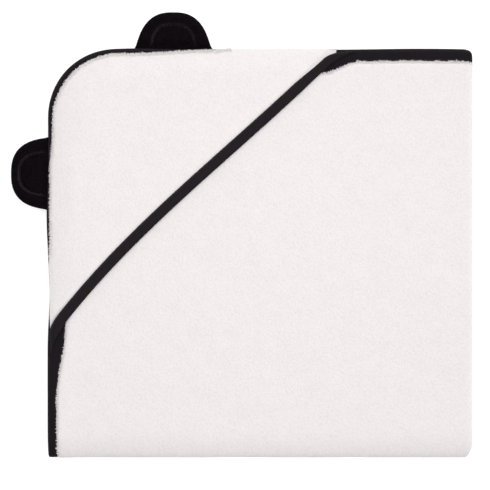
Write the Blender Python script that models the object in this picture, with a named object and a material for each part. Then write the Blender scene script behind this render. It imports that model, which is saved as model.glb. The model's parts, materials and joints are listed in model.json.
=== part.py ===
"""Hooded baby towel, folded in four, with its hood corner at the upper left and two padded ears.

The towel is a square of terry with rounded corners, edged with bias tape. Its right half is folded
behind its left half, and then its lower half behind its upper half, so it lies in four layers.
The last fold opens as a hinge, and each ear bends where it is sewn to the edge.

Frame: +Z up from the surface it lies on, +Y to the top edge, +X to the side fold. The origin is
the middle of the whole object's underside.
"""
import math

import bmesh
import bpy
from mathutils import Matrix, Vector

# Driving sizes, in metres
FOLDED_WIDTH = 0.388  # left edge to the outside of the side fold
FOLDED_HEIGHT = 0.3735  # top edge to the outside of the bottom fold
CORNER_RADIUS = 0.062  # of the towel's four corners
TERRY = 0.0034  # thickness of one layer of terry
CLEARANCE = 0.0003  # between cloth faces that touch

BINDING_WIDTH = 0.0100
BINDING_THICKNESS = 0.0026  # over the squeezed edge of the terry
BINDING_BEVEL = 0.0006
TAPE = 0.0006  # thickness of the bias tape itself
STITCH_INSET = 0.0015  # from the binding's inner edge
THREAD = 0.00025  # thread diameter
THREAD_GAP = 0.0001

HOOD_LEG = 0.2715  # hood corner to each end of the hood's free edge
HOOD_INSET = 0.0015  # the hood's sewn edges lie this far inside the towel's edge
HOOD_CORNER_RADIUS = 0.070
HOOD_BOW_TOP = -0.0015  # handles that bow the free edge towards the corner
HOOD_BOW_SIDE = 0.0220
HOOD_END_MARGIN = 0.0010  # the ends of the free edge's binding stop this far inside the sewn edges

EAR_WIDTH = 0.0686
EAR_REACH = 0.0340  # towel edge to ear tip
EAR_OFFSET = 0.1140  # hood corner to the middle of each ear, along the edge
EAR_AXIS_OFFSET = 0.0016  # the bending line lies this far outside the towel's edge
EAR_ROUNDNESS = 2.3  # exponent of the ear's outline: 2 is an ellipse
EAR_HALF_THICKNESS = 0.0036
EAR_CLOTH = 0.0010
EAR_RIM = 0.0030  # flat seam round the ear
EAR_SLOPE = 0.0030  # plan width of the rise from the seam to the padded middle
EAR_ROOT_FLATNESS = 1.3  # the ear stays thin this many times further from its root
EAR_ARC_INSET = 0.0120  # the stitched inner arc, from the ear's outline

CORNER_STEPS = 10
BEND_STEPS = 8
FOLD_STEPS = 12
HOOD_STEPS = 24
EAR_STEPS = 28
THREAD_SIDES = 6

WHITE_TERRY = (0.88, 0.85, 0.86)
BLACK_TAPE = (0.018, 0.014, 0.018)
BLACK_THREAD = (0.024, 0.020, 0.026)
BLACK_PLUSH = (0.006, 0.004, 0.007)
WADDING_WHITE = (0.80, 0.80, 0.78)

# Places that follow from the sizes
PITCH = TERRY + CLEARANCE  # from one layer's middle to the next
HINGE_Z = 1.5 * PITCH + TERRY / 2
STACK_RADIUS = PITCH * 1.5 + TERRY / 2  # outside of the bottom fold
BEND_RADIUS = PITCH / 2  # of the side fold, at the middle of the cloth
LEFT_X = EAR_REACH - (FOLDED_WIDTH + EAR_REACH) / 2
RIGHT_X = LEFT_X + FOLDED_WIDTH
TOP_Y = (FOLDED_HEIGHT + EAR_REACH) / 2 - EAR_REACH
FOLD_Y = TOP_Y - FOLDED_HEIGHT + STACK_RADIUS  # the bottom fold's hinge line
FOLD_X = RIGHT_X - BEND_RADIUS - TERRY / 2  # where the side fold starts to bend
STRAIGHT = FOLD_X - LEFT_X
BEND_LENGTH = math.pi * BEND_RADIUS
FLAT_WIDTH = 2 * STRAIGHT + BEND_LENGTH  # the whole towel, unfolded
TOP_FACE_Z = HINGE_Z + 1.5 * PITCH + TERRY / 2
HOOD_Z = TOP_FACE_Z + CLEARANCE + TERRY / 2  # middle of the hood's cloth
EAR_Z = TOP_FACE_Z + CLEARANCE / 2  # the seam between towel and hood
EAR_LENGTH = EAR_REACH - EAR_AXIS_OFFSET

HALF_BINDING = BINDING_THICKNESS / 2
TONGUE = HALF_BINDING - TAPE - CLEARANCE  # half thickness of the terry squeezed in the binding
TONGUE_INSET = TAPE + CLEARANCE
BODY_INSET = BINDING_WIDTH + CLEARANCE


def clear_scene():
    for existing in list(bpy.data.objects):
        bpy.data.objects.remove(existing, do_unlink=True)


def cloth_material(name, colour, roughness):
    material = bpy.data.materials.new(name)
    material.use_nodes = True
    shader = material.node_tree.nodes["Principled BSDF"]
    shader.inputs["Base Color"].default_value = (*colour, 1.0)
    shader.inputs["Roughness"].default_value = roughness
    shader.inputs["Metallic"].default_value = 0.0
    material.diffuse_color = (*colour, 1.0)
    return material


def add_hinge(name, place):
    """An empty on a joint's axis, the parent of the pieces that turn with it."""
    hinge = bpy.data.objects.new(name, None)
    hinge.location = place
    hinge.empty_display_size = 0.02
    bpy.context.scene.collection.objects.link(hinge)
    return hinge


def add_piece(name, shape, material, hinge=None):
    """Turn a bmesh in world coordinates into a named object, under its hinge if it has one."""
    bmesh.ops.recalc_face_normals(shape, faces=shape.faces)
    if shape.calc_volume(signed=True) < 0:
        bmesh.ops.reverse_faces(shape, faces=shape.faces)
    if hinge:
        bmesh.ops.translate(shape, verts=shape.verts, vec=-hinge.location)
    mesh = bpy.data.meshes.new(name)
    shape.to_mesh(mesh)
    shape.free()
    mesh.materials.append(material)
    mesh.shade_smooth()
    mesh.set_sharp_from_angle(angle=math.radians(35))
    piece = bpy.data.objects.new(name, mesh)
    piece.parent = hinge
    bpy.context.scene.collection.objects.link(piece)
    return piece


def upper_half(point):
    """Flat cloth (distance from the left edge, y, height off its middle) folded behind at the side."""
    across, y, off = point
    if across <= STRAIGHT:
        return Vector((LEFT_X + across, y, HINGE_Z + 1.5 * PITCH + off))
    if across < STRAIGHT + BEND_LENGTH:
        angle = (across - STRAIGHT) / BEND_RADIUS
        radius = BEND_RADIUS + off
        return Vector((FOLD_X + radius * math.sin(angle), y, HINGE_Z + PITCH + radius * math.cos(angle)))
    return Vector((FOLD_X - (across - STRAIGHT - BEND_LENGTH), y, HINGE_Z + PITCH / 2 - off))


def lower_half(point):
    """The same cloth on the half that lies underneath, turned over at the bottom fold."""
    x, y, z = upper_half(point)
    return Vector((x, y, 2 * HINGE_Z - z))


def towel_outline(inset):
    """Half the towel, flat: up the left edge, over both corners and down the right edge."""
    radius = CORNER_RADIUS - inset
    bottom = FOLD_Y + CLEARANCE
    centre_y = TOP_Y - CORNER_RADIUS
    points = [(inset, bottom)]
    for step in range(CORNER_STEPS + 1):
        angle = math.pi / 2 * step / CORNER_STEPS
        points.append((CORNER_RADIUS - radius * math.cos(angle), centre_y + radius * math.sin(angle)))
    for step in range(BEND_STEPS + 1):
        points.append((STRAIGHT + BEND_LENGTH * step / BEND_STEPS, TOP_Y - inset))
    for step in range(CORNER_STEPS, -1, -1):
        angle = math.pi / 2 * step / CORNER_STEPS
        across = FLAT_WIDTH - CORNER_RADIUS + radius * math.cos(angle)
        points.append((across, centre_y + radius * math.sin(angle)))
    points.append((FLAT_WIDTH - inset, bottom))
    return points


def binding_section():
    """The tape's section: (distance from the folded edge, height), open towards the cloth."""
    half, tape, bevel = HALF_BINDING, TAPE, BINDING_BEVEL
    return [
        (BINDING_WIDTH, half),
        (bevel, half),
        (0.0, half - bevel),
        (0.0, bevel - half),
        (bevel, -half),
        (BINDING_WIDTH, -half),
        (BINDING_WIDTH, tape - half),
        (tape, tape - half),
        (tape, half - tape),
        (BINDING_WIDTH, half - tape),
    ]


def thread_section(inset, height):
    radius = THREAD / 2
    section = []
    for side in range(THREAD_SIDES):
        angle = 2 * math.pi * side / THREAD_SIDES
        section.append((inset + radius * math.cos(angle), height + radius * math.sin(angle)))
    return section


def sweep(section, line):
    """A closed section carried along line(inset), which gives as many points for any inset."""
    shape = bmesh.new()
    rows = []
    for inset, height in section:
        rows.append([shape.verts.new((*point, height)) for point in line(inset)])
    for row, following in zip(rows, rows[1:] + rows[:1]):
        for index in range(len(row) - 1):
            shape.faces.new((row[index], row[index + 1], following[index + 1], following[index]))
    shape.faces.new([row[0] for row in rows])
    shape.faces.new([row[-1] for row in reversed(rows)])
    return shape


def bend(shape, mapping):
    for vertex in shape.verts:
        vertex.co = mapping(vertex.co)
    return shape


def stepped_sheet(body, tongue, mapping, rest=()):
    """A sheet that is thick inside body and thin between body and tongue, two lines side by side.

    rest continues the thick part's outline from the end of body back to its start.
    """
    shape = bmesh.new()
    ends = []
    for sign in (1, -1):
        edge = [shape.verts.new((*point, sign * TONGUE)) for point in tongue]
        low = [shape.verts.new((*point, sign * TONGUE)) for point in body]
        high = [shape.verts.new((*point, sign * TERRY / 2)) for point in body]
        other = [shape.verts.new((*point, sign * TERRY / 2)) for point in rest]
        for first, second in ((edge, low), (low, high)):
            for index in range(len(first) - 1):
                shape.faces.new((first[index], first[index + 1], second[index + 1], second[index]))
        shape.faces.new(high + other)
        ends.append((edge, low, high, other))
    (edge, low, high, other), (edge_under, low_under, high_under, other_under) = ends
    for index in range(len(edge) - 1):
        shape.faces.new((edge[index], edge[index + 1], edge_under[index + 1], edge_under[index]))
    if rest:
        for index in range(len(other) - 1):
            shape.faces.new((other[index], other[index + 1], other_under[index + 1], other_under[index]))
        for end, corner, corner_under in ((-1, other[0], other_under[0]), (0, other[-1], other_under[-1])):
            shape.faces.new((edge[end], low[end], low_under[end], edge_under[end]))
            wall = (high[end], corner, corner_under, high_under[end], low_under[end], low[end])
            shape.faces.new(wall)
    else:
        section = [edge[0], low[0], high[0], high[-1], low[-1], edge[-1]]
        section += [edge_under[-1], low_under[-1], high_under[-1]]
        section += [high_under[0], low_under[0], edge_under[0]]
        shape.faces.new(section)
        for step in range(BEND_STEPS + 1):
            across = STRAIGHT + BEND_LENGTH * step / BEND_STEPS
            everything = shape.verts[:] + shape.edges[:] + shape.faces[:]
            bmesh.ops.bisect_plane(
                shape, geom=everything, dist=1e-6, plane_co=(across, 0, 0), plane_no=(1, 0, 0)
            )
    return bend(shape, mapping)


def round_the_fold(section):
    """Spin a section, given as points of the upper half, round the bottom fold's hinge line."""
    shape = bmesh.new()
    ring = [shape.verts.new(point) for point in section]
    edges = [shape.edges.new((ring[index - 1], ring[index])) for index in range(len(ring))]
    bmesh.ops.spin(
        shape,
        geom=ring + edges,
        cent=(0, FOLD_Y, HINGE_Z),
        axis=(1, 0, 0),
        angle=math.pi,
        steps=FOLD_STEPS,
    )
    bmesh.ops.holes_fill(shape, edges=[edge for edge in shape.edges if edge.is_boundary])
    return shape


def panel_section():
    """The folded terry where the upper half meets the bottom fold, as seen from that fold."""
    profile = []
    for sign in (1, -1):
        side = [(TONGUE_INSET, TONGUE), (BODY_INSET, TONGUE), (BODY_INSET, TERRY / 2)]
        for step in range(BEND_STEPS + 1):
            side.append((STRAIGHT + BEND_LENGTH * step / BEND_STEPS, TERRY / 2))
        side += [(FLAT_WIDTH - inset, height) for inset, height in reversed(side[:3])]
        profile += [(across, sign * height) for across, height in side[::sign]]
    return [upper_half((across, FOLD_Y, off)) for across, off in profile]


def make_panel(terry, hinge):
    body = towel_outline(BODY_INSET)
    tongue = towel_outline(TONGUE_INSET)
    add_piece("panel_upper", stepped_sheet(body, tongue, upper_half), terry)
    add_piece("panel_lower", stepped_sheet(body, tongue, lower_half), terry, hinge)
    add_piece("panel_fold", round_the_fold(panel_section()), terry, hinge)


def make_edge_binding(tape, hinge):
    section = binding_section()
    add_piece("edge_binding_upper", bend(sweep(section, towel_outline), upper_half), tape)
    add_piece("edge_binding_lower", bend(sweep(section, towel_outline), lower_half), tape, hinge)
    outer = [upper_half((inset, FOLD_Y, off)) for inset, off in section]
    inner = [upper_half((FLAT_WIDTH - inset, FOLD_Y, off)) for inset, off in section]
    add_piece("edge_binding_fold_outer", round_the_fold(outer), tape, hinge)
    add_piece("edge_binding_fold_inner", round_the_fold(inner), tape, hinge)


def make_edge_stitching(thread, hinge):
    section = thread_section(BINDING_WIDTH - STITCH_INSET, HALF_BINDING + THREAD_GAP + THREAD / 2)
    add_piece("edge_stitching_upper", bend(sweep(section, towel_outline), upper_half), thread)
    add_piece("edge_stitching_lower", bend(sweep(section, towel_outline), lower_half), thread, hinge)


def towards_corner(along):
    """The unit vector square to a stretch of the hood's free edge, on the hood corner's side."""
    return Vector((along.y, -along.x)).normalized()


def hood_edge(inset):
    """The hood's free edge, moved by inset towards the hood corner: top end to side end."""
    corner = Vector((LEFT_X, TOP_Y))
    start, end = corner + Vector((HOOD_LEG, 0)), corner - Vector((0, HOOD_LEG))
    square = towards_corner(end - start)
    first = start.lerp(end, 1 / 3) + square * HOOD_BOW_TOP
    second = start.lerp(end, 2 / 3) + square * HOOD_BOW_SIDE
    margin = HOOD_INSET + HOOD_END_MARGIN
    top_cut = (margin + BODY_INSET * towards_corner(first - start).y) / (3 * (start - first).y)
    side_cut = (margin - BODY_INSET * towards_corner(end - second).x) / (3 * (second - end).x)
    points = []
    for step in range(HOOD_STEPS + 1):
        part = top_cut + (1 - top_cut - side_cut) * step / HOOD_STEPS
        rest = 1 - part
        place = rest**3 * start + 3 * rest**2 * part * first + 3 * rest * part**2 * second + part**3 * end
        along = rest**2 * (first - start) + 2 * rest * part * (second - first) + part**2 * (end - second)
        points.append(place + towards_corner(along) * inset)
    return points


def hood_sewn_edges(first, last):
    """The hood's two sewn sides and its corner, from the side end of the free edge to its top end."""
    left, top = LEFT_X + HOOD_INSET, TOP_Y - HOOD_INSET
    centre = Vector((left + HOOD_CORNER_RADIUS, top - HOOD_CORNER_RADIUS))
    points = [Vector((left, last.y))]
    for step in range(CORNER_STEPS + 1):
        angle = math.pi - math.pi / 2 * step / CORNER_STEPS
        points.append(centre + HOOD_CORNER_RADIUS * Vector((math.cos(angle), math.sin(angle))))
    points.append(Vector((first.x, top)))
    return points


def make_hood(terry, tape, thread):
    def at_hood_height(point):
        return point + Vector((0, 0, HOOD_Z))

    body = hood_edge(BODY_INSET)
    sewn = hood_sewn_edges(body[0], body[-1])
    panel = stepped_sheet(body, hood_edge(TONGUE_INSET), at_hood_height, sewn)
    add_piece("hood_panel", panel, terry)
    add_piece("hood_binding", bend(sweep(binding_section(), hood_edge), at_hood_height), tape)
    section = thread_section(BINDING_WIDTH - STITCH_INSET, HALF_BINDING + THREAD_GAP + THREAD / 2)
    add_piece("hood_stitching", bend(sweep(section, hood_edge), at_hood_height), thread)


def ear_arc(inset, root):
    """The ear's rounded outline in plan, moved inwards by inset, from root upwards."""
    half_width = EAR_WIDTH / 2 - inset
    length = EAR_LENGTH - inset - root
    points = []
    for step in range(EAR_STEPS + 1):
        angle = math.pi * step / EAR_STEPS
        across = math.copysign(abs(math.cos(angle)) ** (2 / EAR_ROUNDNESS), math.cos(angle))
        up = max(math.sin(angle), 0.0) ** (2 / EAR_ROUNDNESS)
        points.append((half_width * across, root + length * up))
    return points


def ear_outline(inset):
    """The whole ear in plan, standing on its root line at y = 0, moved inwards by inset."""
    return ear_arc(inset, inset * EAR_ROOT_FLATNESS)


def stack_rings(rings):
    """A closed solid through rings of (inset, height), capped at its first and last."""
    shape = bmesh.new()
    rows = [[shape.verts.new((*point, height)) for point in ear_outline(inset)] for inset, height in rings]
    for row, following in zip(rows, rows[1:]):
        for index in range(len(row)):
            shape.faces.new((row[index - 1], row[index], following[index], following[index - 1]))
    shape.faces.new(rows[0])
    shape.faces.new(rows[-1])
    return shape


def ear_cloth(sign):
    """One face of the ear: a flat seam round a raised middle, hollow underneath."""
    low, high = CLEARANCE / 2, EAR_HALF_THICKNESS
    rim, top = EAR_RIM, EAR_RIM + EAR_SLOPE
    rings = [(top + EAR_CLOTH / 2, high - EAR_CLOTH), (rim + EAR_CLOTH, low), (0.0, low)]
    rings += [(0.0, low + EAR_CLOTH), (rim, low + EAR_CLOTH), (top, high)]
    return stack_rings([(inset, sign * height) for inset, height in rings])


def ear_wadding():
    half = EAR_HALF_THICKNESS - EAR_CLOTH - CLEARANCE
    edge = EAR_RIM + EAR_CLOTH + 2 * CLEARANCE
    crown = EAR_RIM + EAR_SLOPE + EAR_CLOTH / 2 + 2 * CLEARANCE
    return stack_rings([(crown, -half), (edge, -CLEARANCE / 2), (edge, CLEARANCE / 2), (crown, half)])


def ear_stitching():
    """The thread of the inner arc, lying on the raised middle of the ear's front."""
    height = EAR_HALF_THICKNESS + THREAD_GAP + THREAD / 2
    root = (EAR_RIM + EAR_SLOPE) * EAR_ROOT_FLATNESS + THREAD

    def arc(inset):
        return ear_arc(inset, root)

    return sweep(thread_section(EAR_ARC_INSET, height), arc)


def make_ear(name, place, turn, plush, wadding, thread):
    hinge = add_hinge(name + "_hinge", place)
    pieces = {
        "front": (ear_cloth(1), plush),
        "back": (ear_cloth(-1), plush),
        "wadding": (ear_wadding(), wadding),
        "stitching": (ear_stitching(), thread),
    }
    for part, (shape, material) in pieces.items():
        to_place = Matrix.Translation(place) @ Matrix.Rotation(turn, 4, "Z")
        bmesh.ops.transform(shape, matrix=to_place, verts=shape.verts)
        add_piece(name + "_" + part, shape, material, hinge)


def make_towel():
    clear_scene()
    terry = cloth_material("white_terry", WHITE_TERRY, 0.95)
    tape = cloth_material("black_tape", BLACK_TAPE, 0.75)
    thread = cloth_material("black_thread", BLACK_THREAD, 0.6)
    plush = cloth_material("black_plush", BLACK_PLUSH, 0.9)
    wadding = cloth_material("wadding", WADDING_WHITE, 1.0)
    fold_hinge = add_hinge("fold_hinge", Vector((0, FOLD_Y, HINGE_Z)))
    make_panel(terry, fold_hinge)
    make_edge_binding(tape, fold_hinge)
    make_edge_stitching(thread, fold_hinge)
    make_hood(terry, tape, thread)
    top_place = Vector((LEFT_X + EAR_OFFSET, TOP_Y + EAR_AXIS_OFFSET, EAR_Z))
    side_place = Vector((LEFT_X - EAR_AXIS_OFFSET, TOP_Y - EAR_OFFSET, EAR_Z))
    make_ear("top_ear", top_place, 0.0, plush, wadding, thread)
    make_ear("side_ear", side_place, math.pi / 2, plush, wadding, thread)


make_towel()
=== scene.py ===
"""Hooded baby towel, folded in four, with a taped edge, a taped hood and two padded ears.

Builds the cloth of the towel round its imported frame: looped terry as folded and laid sheets, bias
tape and its stitches along the edges, the loops that flop over the tape, and the plush ears.
"""

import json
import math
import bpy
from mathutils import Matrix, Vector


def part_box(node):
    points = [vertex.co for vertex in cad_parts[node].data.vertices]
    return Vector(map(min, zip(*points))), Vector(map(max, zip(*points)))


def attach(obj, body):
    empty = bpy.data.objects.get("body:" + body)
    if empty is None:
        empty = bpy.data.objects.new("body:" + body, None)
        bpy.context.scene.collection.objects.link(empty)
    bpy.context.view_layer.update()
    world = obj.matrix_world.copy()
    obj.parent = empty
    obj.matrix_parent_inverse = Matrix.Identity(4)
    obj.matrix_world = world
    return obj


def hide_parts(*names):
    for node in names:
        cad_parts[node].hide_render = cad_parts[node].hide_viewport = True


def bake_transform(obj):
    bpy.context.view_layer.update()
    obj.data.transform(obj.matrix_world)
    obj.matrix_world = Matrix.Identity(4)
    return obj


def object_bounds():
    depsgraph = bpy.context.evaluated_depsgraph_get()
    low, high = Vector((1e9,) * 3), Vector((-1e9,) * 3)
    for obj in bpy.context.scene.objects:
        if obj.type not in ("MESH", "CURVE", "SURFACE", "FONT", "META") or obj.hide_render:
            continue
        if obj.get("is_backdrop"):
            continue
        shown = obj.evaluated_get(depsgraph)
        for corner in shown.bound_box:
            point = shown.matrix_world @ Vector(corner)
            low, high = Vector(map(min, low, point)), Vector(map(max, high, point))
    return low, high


bl_info = {
    "name": "Hooded Baby Towel",
    "version": (1, 0, 0),
    "blender": (4, 5, 0),
    "location": "View3D > Sidebar > Towel",
    "description": "Builds a folded hooded terry towel with padded ears round its packed frame",
    "category": "Add Mesh",
}

import bpy
import numpy as np
from bpy.props import FloatProperty, FloatVectorProperty, PointerProperty

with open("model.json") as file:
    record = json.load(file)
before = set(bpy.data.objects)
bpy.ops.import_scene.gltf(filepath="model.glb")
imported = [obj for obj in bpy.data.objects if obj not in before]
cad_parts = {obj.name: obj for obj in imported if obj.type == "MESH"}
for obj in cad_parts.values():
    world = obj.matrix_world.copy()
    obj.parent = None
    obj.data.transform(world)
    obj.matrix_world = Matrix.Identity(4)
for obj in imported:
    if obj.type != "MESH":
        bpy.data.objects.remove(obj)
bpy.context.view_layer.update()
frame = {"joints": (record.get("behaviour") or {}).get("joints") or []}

# ---- Places read from the frame, in metres ----
JOINTS = {joint["name"]: joint for joint in frame["joints"]}
TAPE_LOW, TAPE_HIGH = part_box("edge_binding_upper")
TERRY_LOW, TERRY_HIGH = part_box("panel_upper")
HOOD_LOW, HOOD_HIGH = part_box("hood_panel")
HINGE_Y, HINGE_Z = JOINTS["bottom_fold"]["pos_m"][1:]
LEFT, TOP, RIGHT = TAPE_LOW.x, TAPE_HIGH.y, TERRY_HIGH.x
TOP_FACE = TERRY_HIGH.z
PITCH = (TERRY_HIGH.z + TERRY_LOW.z) / 2 - HINGE_Z  # from one layer's middle to the next
TERRY = PITCH - 2 * (TERRY_LOW.z - HINGE_Z)  # thickness of one layer
STACK = 1.5 * PITCH + TERRY / 2  # outside radius of the bottom fold
BEND = PITCH / 2  # radius of the side fold, at the middle of the cloth
STRAIGHT = RIGHT - BEND - TERRY / 2 - LEFT  # cloth from the left edge to the side fold
SIDE_BEND = math.pi * BEND
FLAT_WIDTH = 2 * STRAIGHT + SIDE_BEND
DOWN = TOP - HINGE_Y  # cloth from the top edge to the bottom fold
BOTTOM_BEND = math.pi * PITCH
FLAT_HEIGHT = 2 * DOWN + BOTTOM_BEND
HOOD_MIDDLE = (HOOD_LOW.z + HOOD_HIGH.z) / 2
EAR_MIDDLE = JOINTS["top_ear_bend"]["pos_m"][2]
MM = 0.001


def length(name, description, default):
    return FloatProperty(name=name, description=description, default=default, min=0.0, unit="LENGTH")


def amount(name, description, default):
    return FloatProperty(name=name, description=description, default=default, min=0.0, max=1.0)


def colour(name, description, default):
    return FloatVectorProperty(
        name=name, description=description, default=default, size=3, min=0.0, max=1.0, subtype="COLOR"
    )


class TowelCloth(bpy.types.PropertyGroup):
    """Sizes and colour of the terry."""

    corner_radius: length("Corner radius", "Radius of the towel's four corners", 0.062)
    step: length("Mesh step", "Distance between the sheet's rows where it shows", 0.0036)
    hidden_step: length("Hidden mesh step", "Distance between the rows inside the stack", 0.0090)
    relief: length("Relief", "Height of the cloth's soft unevenness", 0.00045)
    wander: length("Wander", "How far the edges stray from a straight line", 0.0006)
    nose: length("Fold nose", "How far back the bottom fold starts to round off", 0.026)
    tight_corner: length("Tight corner", "How far the two folds' corner draws in", 0.0036)
    ear_pull: length("Ear pull", "How far the side ear draws the towel's edge out", 0.0015)
    taped_corner: length("Taped corner", "Length of the side fold's taped corner", 0.0090)
    plump: length("Plumpness", "How far the terry swells beside the tape", 0.0003)
    loop: length("Loop size", "Size of one loop of the pile", 0.0017)
    terry: colour("Terry", "Colour of the white cotton loops", (0.722, 0.690, 0.684))
    # painted shade: the terry's colour between the loops, where shade falls
    shade: colour("Terry shade", "Colour between the loops", (0.672, 0.641, 0.636))


class TowelTape(bpy.types.PropertyGroup):
    """Sizes and colour of the bias tape and its thread."""

    width: length("Width", "Width of the tape on the top edge", 0.0117)
    side_width: length("Side width", "Width of the tape low on the left edge", 0.0083)
    top_spread: length("Spread, top", "Its spread where the hood's tape meets the top", 0.0100)
    side_spread: length("Spread, side", "Its spread where the hood's tape meets the side", 0.0043)
    hood_width: length("Hood width", "Width of the tape on the hood's free edge", 0.0098)
    half: length("Half thickness", "Half the thickness of the taped edge", 0.0013)
    thickness: length("Tape thickness", "Thickness of the tape itself", 0.0006)
    crown: length("Crown", "How far the tape swells between its fold and its stitches", 0.00016)
    stitch: length("Stitch length", "Length of one stitch", 0.0026)
    gap: length("Stitch gap", "Gap between two stitches", 0.0007)
    inset: length("Stitch inset", "From the tape's inner edge to the stitches", 0.0015)
    thread_size: length("Thread", "Thickness of the thread", 0.00034)
    weave: length("Weave", "From one thread of the tape's weave to the next", 0.00045)
    black: colour("Tape", "Colour of the black tape", (0.0080, 0.0046, 0.0074))
    # painted highlight: the lighter colour given to the tape's fold and lip
    painted_highlight: colour("Tape edge", "Colour of the tape along its worn edge", (0.026, 0.021, 0.027))
    thread: colour("Thread colour", "Colour of the black thread", (0.0085, 0.0062, 0.0088))


class TowelHood(bpy.types.PropertyGroup):
    """Sizes of the hood."""

    leg: length("Leg", "From the hood corner to each end of the free edge", 0.2715)
    corner_radius: length("Corner radius", "Radius of the hood's corner", 0.066)
    bow_top: FloatProperty(name="Bow, top", description="Handle at the top end", default=-0.0015)
    bow_side: FloatProperty(name="Bow, side", description="Handle at the side end", default=0.0220)
    sliver: length("Sliver", "Bare tape outside the hood's edge near the hood's ends", 0.0006)
    end_pull: length("End pull", "How far the hood's side end draws the towel's edge in", 0.0018)
    ear_sliver: length("Ear sliver", "How much more of it there is beside the ears", 0.0018)
    corner_sliver: length("Corner sliver", "How much more again there is at the corner", 0.0029)
    droop: length("Droop", "How much lower the hood's cloth lies at its sewn sides", 0.0048)
    droop_width: length("Droop width", "How far in from the sewn sides it starts to sink", 0.0240)
    edge_round: length("Edge rounding", "How far in the hood's sewn edge rounds off", 0.0060)


class TowelEars(bpy.types.PropertyGroup):
    """Sizes and colours of the padded ears."""

    top_width: length("Top ear's width", "Width of the top ear at its root", 0.0718)
    side_width: length("Side ear's width", "Width of the side ear at its root", 0.0668)
    reach: length("Reach", "How far an ear stands out from the towel's edge", 0.0335)
    tuck: length("Tuck", "How much of the ear is caught under the tape", 0.0030)
    roundness: FloatProperty(name="Roundness", description="Exponent of the outline", default=2.6)
    top_taper: amount("Top ear's taper", "Share of its width that the top ear loses to its tip", 0.205)
    side_taper: amount("Side ear's taper", "Share of its width that the side ear loses to its tip", 0.10)
    arc_half: length("Arc half width", "Half the width of the stitched inner arc", 0.0189)
    top_arc: length("Top ear's arc", "How far its arc stands out from the towel's edge", 0.0209)
    side_arc: length("Side ear's arc", "How far its arc stands out from the towel's edge", 0.0246)
    seam: length("Seam", "Half the ear's thickness at its outer seam", 0.0006)
    root: length("Root", "Half the ear's thickness at its root", 0.0008)
    plump: length("Plumpness", "Half the thickness between the edge and the arc", 0.0042)
    middle: length("Middle", "Half the thickness inside the stitched arc", 0.0036)
    groove: length("Groove", "Half the thickness at the stitched arc", 0.0019)
    cloth: length("Cloth", "Thickness of the plush", 0.0008)
    plush: colour("Plush", "Colour of the black plush", (0.0016, 0.0008, 0.0017))
    # painted highlight: the lighter colour of the pile's tips, with the plush's black between them
    tip: colour("Plush tips", "Colour of the pile's tips", (0.0058, 0.0036, 0.0054))
    # painted highlight: the lighter line along the ridge beside the stitched arc
    ridge: colour("Ridge", "Colour of the pile on the arc's rubbed ridge", (0.0230, 0.0175, 0.0185))
    wadding: colour("Wadding", "Colour of the padding", (0.80, 0.80, 0.78))


class TowelStudio(bpy.types.PropertyGroup):
    """The floor, the lights and the camera."""

    lens: FloatProperty(name="Lens", description="Focal length in millimetres", default=100.0)
    view_width: length("View width", "Width that the camera takes in at the towel", 0.4468)
    centre: FloatVectorProperty(
        name="Centre", description="Middle of the view", default=(0.0028, -0.0089), size=2, unit="LENGTH"
    )
    floor: colour("Floor", "Colour of the floor", (0.60, 0.60, 0.60))
    floor_glow: FloatProperty(name="Floor glow", description="Light that the floor gives", default=0.66)
    sky: FloatProperty(name="Sky", description="Strength of the light from all round", default=0.795)
    lean: FloatProperty(name="Lean", description="How much more of it the top right gives", default=0.80)
    key: FloatProperty(name="Key", description="Power of the large soft light", default=6.5)
    key_size: length("Key size", "Width of the large soft light", 1.1)
    key_place: FloatVectorProperty(
        name="Key place", description="Place of the soft light", default=(0.04, 0.13, 1.0), unit="LENGTH"
    )


# ---- Small tools ----
def ease(t):
    return t * t * (3 - 2 * t)


def ramp(value, start, end):
    """0 before start, 1 after end, smooth between; start may be the larger."""
    return ease(np.clip((value - start) / (end - start), 0.0, 1.0))


def hill(value, middle, width):
    """1 at the middle, falling smoothly away on both sides."""
    return np.exp(-(((value - middle) / width) ** 2))


def quarter_round(distance, radius):
    """0 at an edge, 1 from radius on, and a quarter circle between them."""
    return np.sqrt(1 - np.clip(1 - distance / radius, 0, 1) ** 2)


def soft_noise(x, y, size, seed):
    """Smooth noise from -1 to 1 over a plane, with lumps of about size."""
    cells = 256
    lattice = np.random.default_rng(seed).uniform(-1.0, 1.0, (cells, cells))
    gx, gy = np.asarray(x) / size, np.asarray(y) / size
    ix, iy = np.floor(gx).astype(int), np.floor(gy).astype(int)
    fx, fy = ease(gx - ix), ease(gy - iy)
    corners = [lattice[(ix + i) % cells, (iy + j) % cells] for i in (0, 1) for j in (0, 1)]
    near = corners[0] * (1 - fy) + corners[1] * fy
    far = corners[2] * (1 - fy) + corners[3] * fy
    return near * (1 - fx) + far * fx


def new_object(name, points, faces, material, uv=None, smooth=True):
    """A mesh object from arrays of points and faces, at the origin, with a UV map in metres."""
    mesh = bpy.data.meshes.new(name)
    faces = faces if isinstance(faces, list) else faces.tolist()
    mesh.from_pydata(np.asarray(points, float).tolist(), [], faces)
    mesh.materials.append(material)
    if uv is not None:
        layer = mesh.uv_layers.new(name="cloth")
        corner_points = np.zeros(len(mesh.loops), int)
        mesh.loops.foreach_get("vertex_index", corner_points)
        layer.data.foreach_set("uv", np.asarray(uv, np.float32)[corner_points].ravel())
    if smooth:
        mesh.shade_smooth()
    mesh.validate()
    piece = bpy.data.objects.new(name, mesh)
    bpy.context.scene.collection.objects.link(piece)
    return piece


def grid_faces(rows, columns, first=0, wrap_rows=False, wrap_columns=False, flip=False):
    """Quads between the points of a grid stored row by row, as an array."""
    row = np.arange(rows if wrap_rows else rows - 1)[:, None]
    column = np.arange(columns if wrap_columns else columns - 1)[None, :]
    below, beside = (row + 1) % rows, (column + 1) % columns
    corners = [(row, column), (row, beside), (below, beside), (below, column)]
    quads = np.stack([a * columns + b for a, b in corners], axis=-1).reshape(-1, 4)
    return (quads[:, ::-1] if flip else quads) + first


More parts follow.
